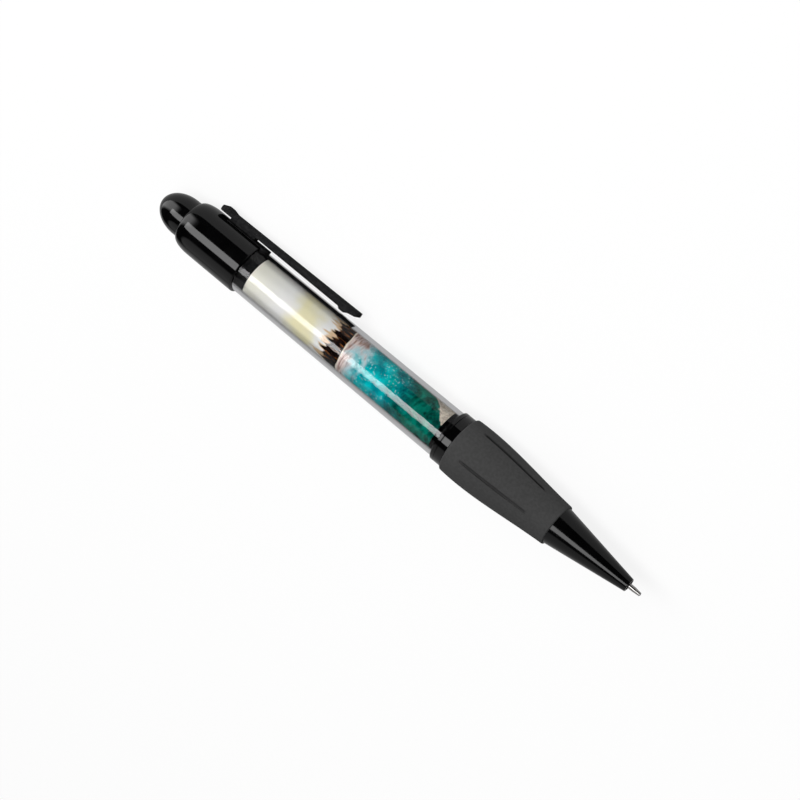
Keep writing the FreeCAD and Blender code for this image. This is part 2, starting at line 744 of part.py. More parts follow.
pieces = {
    "push_button": push_button(),
    "cap_shell": cap_shell(),
    "pocket_clip": pocket_clip(),
    "cam_sleeve": cam_sleeve(),
    "rotor_cam": rotor_cam(),
    "top_coupling": top_coupling(),
    "clear_barrel": clear_barrel(),
    "picture_insert": picture_insert(),
    "core_tube": core_tube(),
    "lower_collar": lower_collar(),
    "grip_core": grip_core(),
    "grip_sleeve": grip_sleeve(),
    "nose_cone": nose_cone(),
    "return_spring": return_spring(),
    "refill_tube": refill_tube(),
    "ink_column": ink_column(),
    "refill_tip": refill_tip(),
    "writing_ball": writing_ball(),
}

os.makedirs("parts", exist_ok=True)
for name, shape in laid_down(pieces).items():
    print(name, len(shape.Solids), shape.isValid(), round(shape.Volume, 3))
    shape.exportStep(f"parts/{name}.step")
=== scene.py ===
import bmesh
import bpy
import json
import math
from mathutils import Matrix, Vector


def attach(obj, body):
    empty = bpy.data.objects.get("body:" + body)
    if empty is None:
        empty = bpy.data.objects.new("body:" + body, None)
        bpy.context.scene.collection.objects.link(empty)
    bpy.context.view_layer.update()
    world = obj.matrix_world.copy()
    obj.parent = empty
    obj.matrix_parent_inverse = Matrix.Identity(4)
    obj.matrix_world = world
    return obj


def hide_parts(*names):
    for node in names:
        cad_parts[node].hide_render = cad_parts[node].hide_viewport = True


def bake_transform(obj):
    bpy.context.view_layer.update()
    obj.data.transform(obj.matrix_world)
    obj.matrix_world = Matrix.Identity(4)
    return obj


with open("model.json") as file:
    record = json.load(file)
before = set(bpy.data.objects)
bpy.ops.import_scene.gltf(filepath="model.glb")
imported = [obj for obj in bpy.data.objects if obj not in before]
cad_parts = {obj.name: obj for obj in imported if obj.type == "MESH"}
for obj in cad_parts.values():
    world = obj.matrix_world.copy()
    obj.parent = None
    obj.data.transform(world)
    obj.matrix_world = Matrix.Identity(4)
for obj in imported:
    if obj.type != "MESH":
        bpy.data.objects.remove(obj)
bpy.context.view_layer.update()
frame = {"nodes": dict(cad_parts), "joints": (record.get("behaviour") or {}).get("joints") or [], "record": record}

# The pen's own axes in the frame, in metres: x runs from the nose's mouth to the button,
# z points at the clip, and y points at the side that the photograph shows.
MM = 0.001
BALL_CENTRE = -2.85 * MM
PEN_MIDDLE = 69.35 * MM

# The photograph's view of the pen
TIP_TOWARDS_CAMERA = math.radians(15.5)
CLIP_TOWARDS_CAMERA = math.radians(10.0)
PEN_FALLS_BY = math.radians(39.70)
CAMERA_DISTANCE = 0.560
CAMERA_NEAREST = 0.01
FOCAL_LENGTH_PIXELS = 2481.0
IMAGE_PIXELS = 800.0
PEN_MIDDLE_PIXEL = (393.6, 390.0)
SENSOR_MM = 36.0

# Studio: one long soft lamp above the pen, and a room that the gloss mirrors. The room has
# pale walls, a dark ceiling behind the camera, and a soft bright end on the button's side.
# Matt surfaces also see a soft light, strongest overhead, where it is brighter than the room.
LAMP_RADIANCE = 4.5
LAMP_DISTANCE = 0.7
LAMP_FROM_VIEW = math.radians(24.5)
LAMP_HALF_WIDTH = math.radians(13.0)
LAMP_HALF_LENGTH = math.radians(33.0)
WALL_LEVEL = 0.45
WALL_STARTS = (math.sin(math.radians(55.0)), math.sin(math.radians(62.0)))
BACK_LEVEL = 0.5
BACK_EDGE = (math.cos(math.radians(118.0)), math.cos(math.radians(98.0)))
CEILING_LEVEL = 0.01
END_LEVEL = 2.6
END_STARTS = (0.39, 0.72)
END_HALF_WIDTH = (0.22, 0.45)
MATT_LIGHT = (0.22, 0.5)
MATT_LIGHT_EDGE = (0.48, 1.0)

# Floor
FLOOR_SIZE = 3.0
FLOOR_PAPER = ((0.88, 0.88, 0.88), (0.92, 0.92, 0.92))
FLOOR_GRAIN = (900.0, 2.0)
FLOOR_ROUGHNESS = 0.9
FLOOR_WHITE_SHARE = 0.85
FLOOR_MIRRORED_WHITE = 0.45

# New pieces
ROUND_STEPS = 128
MERGE_DISTANCE = 1e-7
SHARP_EDGE = math.radians(30.0)
END_REACH = 0.1 * MM

# Return spring
WIRE_SIDES = 12
STEPS_PER_TURN = 24
OPEN_TURNS = 6
COILS_APART = 0.02 * MM

# Every grain below is (fineness, detail) and, where it is swirled, how far. A span says which
# part of a grain's range counts. A stretch is the fineness along the pen and across it, and
# turned metal has its marks close together along the pen.
GRAIN_SPAN = (0.3, 0.7)
FINISH_DETAIL = 3.0
EVEN = (1, 1, 1)
TURNED = (4000, 400, 400)

# Clear barrel
CLEAR_GRAIN = (200.0, 3.0)
CLEAR_ROUGHNESS = (0.0, 0.02)
CLEAR_IOR = 1.38
UNTINTED = (1.0, 1.0, 1.0)
# The edge shade is painted: a grey darkening of what is seen through the wall towards edge on, for camera rays
# only.
EDGE_SHADE_REACH = (0.18, 0.31)
EDGE_SHADE_GREY = (0.55, 0.55, 0.55)
RIM_EDGE = (0.38, 0.52)
RIM_GREY = (0.76, 0.76, 0.77)

# Plain finishes: two colours for each, darker and lighter
BLACK = ((0.0006, 0.0006, 0.0007), (0.0012, 0.0012, 0.0013))
CLIP_BLACK = ((0.009, 0.009, 0.0096), (0.019, 0.019, 0.0195))
LINER_WHITE = ((0.72, 0.72, 0.70), (0.80, 0.80, 0.78))
CAM_IVORY = ((0.62, 0.60, 0.52), (0.70, 0.68, 0.60))
ROTOR_GREY = ((0.30, 0.31, 0.33), (0.36, 0.37, 0.39))
REFILL_MILKY = ((0.60, 0.62, 0.62), (0.68, 0.70, 0.70))
INK_BLUE = ((0.004, 0.008, 0.06), (0.006, 0.012, 0.09))
STEEL = ((0.50, 0.50, 0.51), (0.62, 0.62, 0.63))
NICKEL = ((0.36, 0.35, 0.34), (0.46, 0.45, 0.44))
CARBIDE = ((0.20, 0.20, 0.21), (0.30, 0.30, 0.31))

# Grip: rubber, with painted shade down in the lengthwise creases that are pressed into it, painted weaker in the
# crease on the shown side, which the lamp lights face on
RUBBER = ((0.042, 0.042, 0.042), (0.050, 0.050, 0.050))
CREASE_PAINTED_SHADE = (0.004, 0.004, 0.004)
CREASE_ANGLE = math.radians(59.0)
CREASE_SPACING = math.radians(72.0)
CREASE_SPAN = (26.8 * MM, 45.6 * MM)
CREASE_FADE = 1 * MM
CREASE_HALF_WIDTH = 0.5 * MM
LIT_CREASE_REACH = (math.radians(25.0), math.radians(50.0))
LIT_CREASE_SHADE = 0.45
GRIP_RADIUS = 5.9 * MM

# Printed sheet: its paper
SHEET_RADIUS = 4.9 * MM
PAPER_GRAIN = (4000.0, 2.0)
PAPER_ROUGHNESS = (0.10, 0.14)
PAPER_GLOSS = 0.35

# Printed sheet: places along the pen, from the nose's mouth. An edge is a place and how softly
# a band ends there. A push is how far a grain moves an edge along the pen. Crags are a fineness
# and a push.
SKY_TOP = 111.5 * MM
HAZE_PLACE = 96.0 * MM
RIDGE_PLACE = 87.0 * MM
SHORE_PLACE = 83.5 * MM
WATER_DEEP_PLACE = 66.0 * MM
BANK_PLACE = 54.0 * MM

# Its sky
SKY_WHITE = (0.96, 0.96, 0.94)
SKY_CREAM = (0.94, 0.93, 0.82)
SKY_FADE = 11 * MM
HAZE_YELLOW = (0.93, 0.86, 0.46)
HAZE_SHARE = 0.75
HAZE_GRAIN = (150.0, 2.0)
HAZE_PUSH = 16 * MM
HAZE_RISES = (HAZE_PLACE, HAZE_PLACE + 5 * MM)
HAZE_FALLS = (HAZE_PLACE + 7 * MM, HAZE_PLACE + 13 * MM)

# Its ridges
CRAG_LENGTHENING = 0.08
CRAG_GRAIN = (1.0, 4.0)
FAR_ROCK = (0.66, 0.40, 0.14)
FAR_SHARE = 0.75
FAR_CRAGS = (1500.0, 13 * MM)
FAR_EDGE = (RIDGE_PLACE + 8.2 * MM, 0.8 * MM)
NEAR_ROCK = ((0.012, 0.005, 0.004), (0.46, 0.17, 0.04))
NEAR_CRAGS = (1000.0, 11 * MM)
NEAR_EDGE = (RIDGE_PLACE + 5.4 * MM, 0.3 * MM)
STREAK_STRETCH = (300, 2600, 2600)
STREAK_GRAIN = (1.0, 3.0)
STREAK_SPAN = (0.55, 0.74)

# Its shore
SHORE_SLOPE = 0.12
SHORE_GRAIN = (500.0, 2.0)
SHORE_PUSH = 0.8 * MM
SAND_LINE = (0.97, 0.88, 0.74)
SAND_EDGE = (SHORE_PLACE, 0.1 * MM)
SAND_WIDTH = 0.25 * MM
WATER_PLACE = SHORE_PLACE - SAND_WIDTH
WASH = ((0.38, 0.21, 0.17), (0.84, 0.71, 0.67))
WASH_EDGE = (WATER_PLACE, 0.3 * MM)
WASH_STRETCH = (2400, 400, 400)
WASH_GRAIN = (1.0, 3.0)
WASH_SPAN = (0.35, 0.65)

# Its water
SWELL_GRAIN = (230.0, 4.0, 0.6)
SWELL_PUSH = 13 * MM
FOAM = (0.74, 0.91, 0.97)
FOAM_EDGE = (WATER_PLACE + 5.0 * MM, 3.5 * MM)
SHALLOW_WATER = ((0.0, 0.20, 0.26), (0.0, 0.76, 0.78))
SHALLOW_EDGE = (WATER_PLACE + 4.2 * MM, 5 * MM)
DEEP_WATER = ((0.0, 0.016, 0.018), (0.0, 0.30, 0.21))
DEEP_EDGE = (WATER_DEEP_PLACE + 14 * MM, 12 * MM)
MOTTLE_GRAIN = (330.0, 6.0, 0.8)
MOTTLE_SPAN = (0.36, 0.68)
MOTTLE_SHARE = 0.65
RIPPLE_STRETCH = (3.0, 1.0, 1.0)
RIPPLE_GRAIN = (900.0, 3.0, 1.5)
RIPPLE_SHARE = 0.35
GLINT = (0.62, 0.94, 1.0)
GLINT_FINENESS = 1900.0
GLINT_SIZE = (0.10, 0.34)
GLINT_DRIFT_GRAIN = (300.0, 3.0)
GLINT_DRIFT_SPAN = (0.42, 0.56)
GLINT_EDGE = (SHORE_PLACE + 4 * MM, 3 * MM)
GLINT_FADE = (WATER_DEEP_PLACE + 4 * MM, WATER_DEEP_PLACE + 12 * MM)

# Its sand bank
BANK_SAND = ((0.50, 0.43, 0.35), (0.86, 0.79, 0.67))
BANK_SLOPE = 1.1
BANK_EDGE = (BANK_PLACE, 0.25 * MM)
BANK_GRAIN = (1100.0, 3.0)
BANK_PUSH = 2.4 * MM
SPECKLE_GRAIN = (2600.0, 3.0)
SPECKLE_SPAN = (0.35, 0.65)


def named(items, name):
    return next(item for item in items if item["name"] == name)


def pen_matrix():
    """From the pen's own axes to the frame, read from its joints and its clip's mount."""
    along = Vector(named(frame["joints"], "button_press")["axis"]).normalized()
    ball = Vector(named(frame["joints"], "ball_roll")["pos_m"])
    clip = Vector(named(frame["record"]["mounts"], "pocket_clip")["pos_m"])
    to_clip = clip - ball
    to_clip = (to_clip - along * to_clip.dot(along)).normalized()
    side = to_clip.cross(along)
    matrix = Matrix((along, side, to_clip)).transposed().to_4x4()
    matrix.translation = ball - along * BALL_CENTRE
    return matrix


PEN = pen_matrix()


# Camera and studio

def across_pen(angle):
    """A direction square to the pen, turned from its shown side towards the clip."""
    return Vector((0, math.cos(angle), math.sin(angle)))


def view_direction():
    """From the pen to the camera, in the pen's own axes."""
    across = across_pen(CLIP_TOWARDS_CAMERA) * math.cos(TIP_TOWARDS_CAMERA)
    return across - Vector((math.sin(TIP_TOWARDS_CAMERA), 0, 0))


def camera_axes():
    """The camera's right, up and backward directions, in the pen's own axes."""
    back = view_direction()
    tip = Vector((-1, 0, 0))
    tip_seen = (tip - back * tip.dot(back)).normalized()
    clip_seen = back.cross(tip_seen)
    right = tip_seen * math.cos(PEN_FALLS_BY) + clip_seen * math.sin(PEN_FALLS_BY)
    up = clip_seen * math.cos(PEN_FALLS_BY) - tip_seen * math.sin(PEN_FALLS_BY)
    return right, up, back


def place_facing_pen(item, axes, distance):
    """Puts a camera or lamp over the pen's middle, with its axes given in the pen's own."""
    turn = Matrix(axes).transposed().to_4x4()
    turn.translation = Vector((PEN_MIDDLE, 0, 0)) + axes[2] * distance
    item.matrix_world = PEN @ turn
    bpy.context.scene.collection.objects.link(item)


def make_camera():
    data = bpy.data.cameras.new("photo_camera")
    data.sensor_width = SENSOR_MM
    data.lens = FOCAL_LENGTH_PIXELS / IMAGE_PIXELS * SENSOR_MM
    data.shift_x = (IMAGE_PIXELS / 2 - PEN_MIDDLE_PIXEL[0]) / IMAGE_PIXELS
    data.shift_y = (PEN_MIDDLE_PIXEL[1] - IMAGE_PIXELS / 2) / IMAGE_PIXELS
    data.clip_start = CAMERA_NEAREST
    camera = bpy.data.objects.new("photo_camera", data)
    place_facing_pen(camera, camera_axes(), CAMERA_DISTANCE)
    bpy.context.scene.camera = camera


def make_lamp():
    """A long soft box above the pen, where a round black piece mirrors it as one clean strip."""
    data = bpy.data.lights.new("long_softbox", "AREA")
    data.shape = "RECTANGLE"
    data.size = 2 * LAMP_DISTANCE * math.tan(LAMP_HALF_LENGTH)
    data.size_y = 2 * LAMP_DISTANCE * math.tan(LAMP_HALF_WIDTH)
    data.energy = LAMP_RADIANCE * math.pi * data.size * data.size_y
    lamp = bpy.data.objects.new("long_softbox", data)
    back = across_pen(CLIP_TOWARDS_CAMERA - LAMP_FROM_VIEW) * math.cos(TIP_TOWARDS_CAMERA)
    back = back + Vector((math.sin(TIP_TOWARDS_CAMERA), 0, 0))
    along = Vector((1, 0, 0))
    along = (along - back * along.dot(back)).normalized()
    place_facing_pen(lamp, (along, back.cross(along), back), LAMP_DISTANCE)


def lean(tree, direction, axis):
    """How far a direction leans towards an axis that is given in the pen's own axes."""
    node = tree.nodes.new("ShaderNodeVectorMath")
    node.operation = "DOT_PRODUCT"
    node.inputs[1].default_value = PEN.to_3x3() @ axis
    tree.links.new(direction, node.inputs[0])
    return node.outputs["Value"]


def mirrored_inside(tree, seen):
    """1 for what the picture and the tube's inner wall mirror, which keeps a veil off them."""
    both = calc(tree, "MINIMUM", seen.outputs["Glossy Depth"], seen.outputs["Transmission Depth"])
    return calc(tree, "MINIMUM", both, 1.0)


def make_world():
    """The room that gloss mirrors, and the soft light that only matt surfaces see."""
    world = bpy.data.worlds.new("studio")
    bpy.context.scene.world = world
    world.use_nodes = True
    tree = world.node_tree
    direction = tree.nodes.new("ShaderNodeTexCoord").outputs["Generated"]
    across = across_pen(CLIP_TOWARDS_CAMERA) * math.cos(TIP_TOWARDS_CAMERA)
    overhead = lean(tree, direction, across + Vector((math.sin(TIP_TOWARDS_CAMERA), 0, 0)))
    aside = lean(tree, direction, across_pen(CLIP_TOWARDS_CAMERA + math.pi / 2))
    aside = calc(tree, "ABSOLUTE", aside)
    walls = between(tree, aside, WALL_STARTS, (CEILING_LEVEL, WALL_LEVEL))
    end = between(tree, lean(tree, direction, Vector((1, 0, 0))), END_STARTS)
    back = between(tree, overhead, BACK_EDGE, (BACK_LEVEL, 0.0))
    back = product(tree, back, rest_of(tree, end))
    level = calc(tree, "MAXIMUM", walls, back)
    inside = between(tree, aside, END_HALF_WIDTH, (1.0, 0.0))
    level = calc(tree, "MULTIPLY_ADD", product(tree, end, inside), END_LEVEL, level)
    seen = tree.nodes.new("ShaderNodeLightPath")
    level = product(tree, level, rest_of(tree, mirrored_inside(tree, seen)))
    matt = calc(tree, "MINIMUM", seen.outputs["Diffuse Depth"], 1.0)
    soft = between(tree, overhead, MATT_LIGHT_EDGE, MATT_LIGHT)
    level = calc(tree, "MAXIMUM", level, product(tree, matt, soft))
    level = calc(tree, "MAXIMUM", level, seen.outputs["Is Camera Ray"])
    tree.links.new(level, tree.nodes["Background"].inputs["Strength"])
    tree.nodes["Background"].inputs["Color"].default_value = (1, 1, 1, 1)


def make_floor():
    """A pale floor that keeps the pen's soft shadow and looks white where nothing shades it."""
    mesh = bpy.data.meshes.new("floor")
    shape = bmesh.new()
    bmesh.ops.create_grid(shape, x_segments=1, y_segments=1, size=FLOOR_SIZE)
    shape.to_mesh(mesh)
    shape.free()
    floor = bpy.data.objects.new("floor", mesh)
    bpy.context.scene.collection.objects.link(floor)
    mesh.materials.append(floor_white())


def floor_white():
    """Pale paper, mixed with plain white for what is seen directly, in gloss or through glass."""
    material, tree, shader = new_material("floor_white")
    paper = grain(tree, pen_place(tree), *FLOOR_GRAIN)
    tree.links.new(mixed(tree, paper, *FLOOR_PAPER), shader.inputs["Base Color"])
    shader.inputs["Roughness"].default_value = FLOOR_ROUGHNESS
    shader.inputs["Specular IOR Level"].default_value = 0.0
    seen = tree.nodes.new("ShaderNodeLightPath")
    inside = mirrored_inside(tree, seen)
    glossy = seen.outputs["Is Glossy Ray"]
    share = calc(tree, "MAXIMUM", glossy, seen.outputs["Is Transmission Ray"])
    share = calc(tree, "MAXIMUM", share, seen.outputs["Is Camera Ray"])
    share = calc(tree, "MAXIMUM", product(tree, share, FLOOR_WHITE_SHARE), inside)
    dimmed = (1.0, FLOOR_MIRRORED_WHITE)
    strength = between(tree, seen.outputs["Glossy Depth"], (0.0, 1.0), dimmed)
    strength = product(tree, strength, rest_of(tree, inside))
    white = tree.nodes.new("ShaderNodeEmission")
    tree.links.new(strength, white.inputs["Strength"])
    blend = tree.nodes.new("ShaderNodeMixShader")
    tree.links.new(share, blend.inputs["Fac"])
    tree.links.new(shader.outputs["BSDF"], blend.inputs[1])
    tree.links.new(white.outputs["Emission"], blend.inputs[2])
    tree.links.new(blend.outputs["Shader"], tree.nodes["Material Output"].inputs["Surface"])
    return material


# Steps that the materials are made from

def new_material(name):
    material = bpy.data.materials.new(name)
    material.use_nodes = True
    tree = material.node_tree
    return material, tree, tree.nodes["Principled BSDF"]


def feed(tree, socket, value):
    """Links a socket to another one, or sets it to a number, colour or direction."""
    if isinstance(value, bpy.types.NodeSocket):
        tree.links.new(value, socket)
    else:
        socket.default_value = value


def pen_place(tree):
    """The surface's place in the pen's own axes, in metres."""
    place = tree.nodes.new("ShaderNodeTexCoord")
    turn = tree.nodes.new("ShaderNodeMapping")
    back = PEN.inverted()
    turn.inputs["Location"].default_value = back.translation
    turn.inputs["Rotation"].default_value = back.to_euler()
    tree.links.new(place.outputs["Object"], turn.inputs["Vector"])
    return turn.outputs["Vector"]


def round_pen(tree, place):
    """A place as its distance along the pen and its angle round it, from the shown side."""
    split = tree.nodes.new("ShaderNodeSeparateXYZ")
    tree.links.new(place, split.inputs["Vector"])
    return split.outputs["X"], calc(tree, "ARCTAN2", split.outputs["Z"], split.outputs["Y"])


def stretched(tree, vector, scale):
    """A place scaled by its own amount along each of the pen's axes."""
    mapping = tree.nodes.new("ShaderNodeMapping")
    mapping.inputs["Scale"].default_value = scale
    tree.links.new(vector, mapping.inputs["Vector"])
    return mapping.outputs["Vector"]


def calc(tree, operation, first, second=0.0, third=0.0):
    """One step of arithmetic on sockets or numbers."""
    node = tree.nodes.new("ShaderNodeMath")
    node.operation = operation
    for socket, value in zip(node.inputs, (first, second, third)):
        feed(tree, socket, value)
    return node.outputs[0]


def product(tree, first, second):
    return calc(tree, "MULTIPLY", first, second)


def rest_of(tree, share):
    """What a share leaves of 1."""
    return calc(tree, "SUBTRACT", 1.0, share)


def pushed(tree, along, cloud, push):
    """A place along the pen, pushed by a grain."""
    return calc(tree, "MULTIPLY_ADD", cloud, push, along)


def between(tree, value, limits, result=(0.0, 1.0)):
    """Runs smoothly from the first result to the second between the two limits."""
    node = tree.nodes.new("ShaderNodeMapRange")
    node.interpolation_type = "SMOOTHSTEP"
    feed(tree, node.inputs["Value"], value)
    node.inputs["From Min"].default_value = limits[0]
    node.inputs["From Max"].default_value = limits[1]
    node.inputs["To Min"].default_value = result[0]
    node.inputs["To Max"].default_value = result[1]
    return node.outputs[0]


def below(tree, value, limit, softness):
    """Goes from 0 to 1 where a value falls under a limit."""
    return between(tree, value, (limit - softness, limit), (1.0, 0.0))


def mixed(tree, share, first, second):
    """A colour that goes from the first to the second as the share goes from 0 to 1."""
    node = tree.nodes.new("ShaderNodeMix")
    node.data_type = "RGBA"
    feed(tree, node.inputs["Factor"], share)
    sockets = [item for item in node.inputs if item.type == "RGBA"]
    for socket, colour in zip(sockets, (first, second)):
        feed(tree, socket, (*colour, 1) if isinstance(colour, tuple) else colour)
    return next(item for item in node.outputs if item.type == "RGBA")


def grain(tree, vector, fineness, detail, swirl=0.0):
    """Cloudy noise from 0 to 1."""
    node = tree.nodes.new("ShaderNodeTexNoise")
    node.inputs["Scale"].default_value = fineness
    node.inputs["Detail"].default_value = detail
    node.inputs["Distortion"].default_value = swirl
    tree.links.new(vector, node.inputs["Vector"])
    return node.outputs["Fac"]


def relief(tree, shader, height, depth):
    """Raises the surface by a height pattern, at most by the depth in metres."""
    bump = tree.nodes.new("ShaderNodeBump")
    bump.inputs["Distance"].default_value = depth
    tree.links.new(height, bump.inputs["Height"])
    tree.links.new(bump.outputs["Normal"], shader.inputs["Normal"])


def finish(name, colours, roughness, fineness, depth, stretch=EVEN, **fixed):
    """A material whose colour, roughness and relief all follow one grain in the piece."""
    material, tree, shader = new_material(name)
    place = stretched(tree, pen_place(tree), stretch)
    cloud = grain(tree, place, fineness, FINISH_DETAIL)
    share = between(tree, cloud, GRAIN_SPAN)
    tree.links.new(mixed(tree, share, *colours), shader.inputs["Base Color"])
    tree.links.new(between(tree, cloud, GRAIN_SPAN, roughness), shader.inputs["Roughness"])
    relief(tree, shader, cloud, depth)
    for socket, value in fixed.items():
        shader.inputs[socket.replace("_", " ")].default_value = value
    return material


def clear_plastic():
    """Clear where it is looked into, with painted shade greying it towards edge on, and a grey mirror where its
    wall is seen edge on.
    """
    material, tree, shader = new_material("clear_plastic")
    cloud = grain(tree, pen_place(tree), *CLEAR_GRAIN)
    tree.links.new(between(tree, cloud, GRAIN_SPAN, CLEAR_ROUGHNESS), shader.inputs["Roughness"])
    # Painted shade: only what is looked at is greyed towards edge on, so that slanting light still passes the
    # tube.
    turned = tree.nodes.new("ShaderNodeLayerWeight").outputs["Facing"]
    looked_at = tree.nodes.new("ShaderNodeLightPath").outputs["Is Camera Ray"]
    rim = product(tree, between(tree, turned, RIM_EDGE), looked_at)
    edge_shade_share = product(tree, between(tree, turned, EDGE_SHADE_REACH), looked_at)
    edge_shaded = mixed(tree, edge_shade_share, UNTINTED, EDGE_SHADE_GREY)
    tree.links.new(mixed(tree, rim, edge_shaded, RIM_GREY), shader.inputs["Base Color"])
    tree.links.new(rim, shader.inputs["Metallic"])
    shader.inputs["IOR"].default_value = CLEAR_IOR
    shader.inputs["Transmission Weight"].default_value = 1.0
    return material


# Printed sheet

def printed_sheet():
    """A pale sky over a dark ridge and teal water, drawn as bands round the rolled sheet."""
    material, tree, shader = new_material("printed_sheet")
    place = pen_place(tree)
    along, angle = round_pen(tree, place)
    around = product(tree, angle, SHEET_RADIUS)
    tilt = calc(tree, "MULTIPLY_ADD", around, -SHORE_SLOPE, along)
    colour = sky(tree, place, along, tilt)
    colour = ridges(tree, place, tilt, colour)
    colour = shore(tree, place, tilt, colour)
    colour = water(tree, place, along, colour)
    colour = sand_bank(tree, place, along, around, colour)
    tree.links.new(colour, shader.inputs["Base Color"])
    paper = grain(tree, place, *PAPER_GRAIN)
    tree.links.new(between(tree, paper, GRAIN_SPAN, PAPER_ROUGHNESS), shader.inputs["Roughness"])
    shader.inputs["Specular IOR Level"].default_value = PAPER_GLOSS
    return material


def sky(tree, place, along, tilt):
    """Cream at the cap's end, white in the middle, and a yellow haze over the ridge."""
    cream = between(tree, along, (SKY_TOP - SKY_FADE, SKY_TOP))
    colour = mixed(tree, cream, SKY_WHITE, SKY_CREAM)
    drift = pushed(tree, tilt, grain(tree, place, *HAZE_GRAIN), HAZE_PUSH)
    rising = between(tree, drift, HAZE_RISES)
    falling = between(tree, drift, HAZE_FALLS, (1.0, 0.0))
    haze = product(tree, product(tree, rising, falling), HAZE_SHARE)
    return mixed(tree, haze, colour, HAZE_YELLOW)


def ragged(tree, place, tilt, fineness, push):
    """The place along the pen, pushed up and down by crags that run round the sheet."""
    lengthened = stretched(tree, place, (fineness * CRAG_LENGTHENING, fineness, fineness))
    return pushed(tree, tilt, grain(tree, lengthened, *CRAG_GRAIN), push)


def ridges(tree, place, tilt, colour):
    """A far ridge in the haze, and a near one of dark rock with warm light on it."""
    far = below(tree, ragged(tree, place, tilt, *FAR_CRAGS), *FAR_EDGE)
    colour = mixed(tree, product(tree, far, FAR_SHARE), colour, FAR_ROCK)
    near = below(tree, ragged(tree, place, tilt, *NEAR_CRAGS), *NEAR_EDGE)
    streaks = grain(tree, stretched(tree, place, STREAK_STRETCH), *STREAK_GRAIN)
    rock = mixed(tree, between(tree, streaks, STREAK_SPAN), *NEAR_ROCK)
    return mixed(tree, near, colour, rock)


def shore(tree, place, tilt, colour):
    """A thin line of sand, and the wash of the water under it."""
    line = pushed(tree, tilt, grain(tree, place, *SHORE_GRAIN), SHORE_PUSH)
    colour = mixed(tree, below(tree, line, *SAND_EDGE), colour, SAND_LINE)
    runs = grain(tree, stretched(tree, place, WASH_STRETCH), *WASH_GRAIN)
    wash = mixed(tree, between(tree, runs, WASH_SPAN), *WASH)
    return mixed(tree, below(tree, line, *WASH_EDGE), colour, wash)


def water(tree, place, along, colour):
    """Pale foam, and mottled teal water that darkens towards the grip."""
    swell = pushed(tree, along, grain(tree, place, *SWELL_GRAIN), SWELL_PUSH)
    colour = mixed(tree, below(tree, swell, *FOAM_EDGE), colour, FOAM)
    mottle = between(tree, grain(tree, place, *MOTTLE_GRAIN), MOTTLE_SPAN)
    ripples = grain(tree, stretched(tree, place, RIPPLE_STRETCH), *RIPPLE_GRAIN)
    ripples = between(tree, ripples, GRAIN_SPAN)
    mottle = product(tree, mottle, MOTTLE_SHARE)
    mottle = calc(tree, "MULTIPLY_ADD", ripples, RIPPLE_SHARE, mottle)
    shallow = mixed(tree, mottle, *SHALLOW_WATER)
    colour = mixed(tree, below(tree, swell, *SHALLOW_EDGE), colour, shallow)
    deep = mixed(tree, mottle, *DEEP_WATER)
    colour = mixed(tree, below(tree, swell, *DEEP_EDGE), colour, deep)
    return glints(tree, place, swell, colour)


def glints(tree, place, swell, colour):
    """Small pale dots in loose drifts on the water."""
    dots = tree.nodes.new("ShaderNodeTexVoronoi")
    dots.inputs["Scale"].default_value = GLINT_FINENESS
    tree.links.new(place, dots.inputs["Vector"])
    spark = between(tree, dots.outputs["Distance"], GLINT_SIZE, (1.0, 0.0))
    drift = between(tree, grain(tree, place, *GLINT_DRIFT_GRAIN), GLINT_DRIFT_SPAN)
    reach = below(tree, swell, *GLINT_EDGE)
    fade = between(tree, swell, GLINT_FADE)
    share = product(tree, product(tree, spark, drift), product(tree, reach, fade))
    return mixed(tree, share, colour, GLINT)


def sand_bank(tree, place, along, around, colour):
    """A pale bank of sand at the grip's end, on the clip's side."""
    edge = calc(tree, "MULTIPLY_ADD", around, -BANK_SLOPE, along)
    edge = pushed(tree, edge, grain(tree, place, *BANK_GRAIN), BANK_PUSH)
    speckle = between(tree, grain(tree, place, *SPECKLE_GRAIN), SPECKLE_SPAN)
    sand = mixed(tree, speckle, *BANK_SAND)
    return mixed(tree, below(tree, edge, *BANK_EDGE), colour, sand)


# Grip

def grip_rubber():
    """Soft black rubber, with painted shade down in its creases, painted weaker in the crease on the shown side,
    which the lamp lights face on.
    """
    material = finish("grip_rubber", RUBBER, roughness=(0.6, 0.7), fineness=1500.0,
                      depth=0.01 * MM, Specular_IOR_Level=0.05)
    tree = material.node_tree
    along, angle = round_pen(tree, pen_place(tree))
    # Painted shade down each crease, weaker in the crease on the shown side, where the lamp lights it face on.
    from_lit_crease = calc(tree, "SUBTRACT", angle, CREASE_ANGLE - CREASE_SPACING)
    crease_shade_strength = calc(tree, "ABSOLUTE", from_lit_crease)
    crease_shade_strength = between(tree, crease_shade_strength, LIT_CREASE_REACH, (LIT_CREASE_SHADE, 1.0))
    from_crease = calc(tree, "WRAP", from_lit_crease, CREASE_SPACING / 2, -CREASE_SPACING / 2)
    across = product(tree, calc(tree, "ABSOLUTE", from_crease), GRIP_RADIUS)
    crease_shade = between(tree, across, (0.0, CREASE_HALF_WIDTH), (1.0, 0.0))
    front = between(tree, along, (CREASE_SPAN[0], CREASE_SPAN[0] + CREASE_FADE))
    rear = between(tree, along, (CREASE_SPAN[1] - CREASE_FADE, CREASE_SPAN[1]), (1.0, 0.0))
    crease_shade = product(tree, crease_shade, product(tree, front, rear))
    crease_shade = product(tree, crease_shade, crease_shade_strength)
    colour = tree.nodes["Principled BSDF"].inputs["Base Color"]
    plain = colour.links[0].from_socket
    tree.links.new(mixed(tree, crease_shade, plain, CREASE_PAINTED_SHADE), colour)
    return material


# Pieces

def dress(material, *nodes):
    """Gives carried-over pieces their material."""
    for node in nodes:
        mesh = frame["nodes"][node].data
        mesh.materials.clear()
        mesh.materials.append(material)


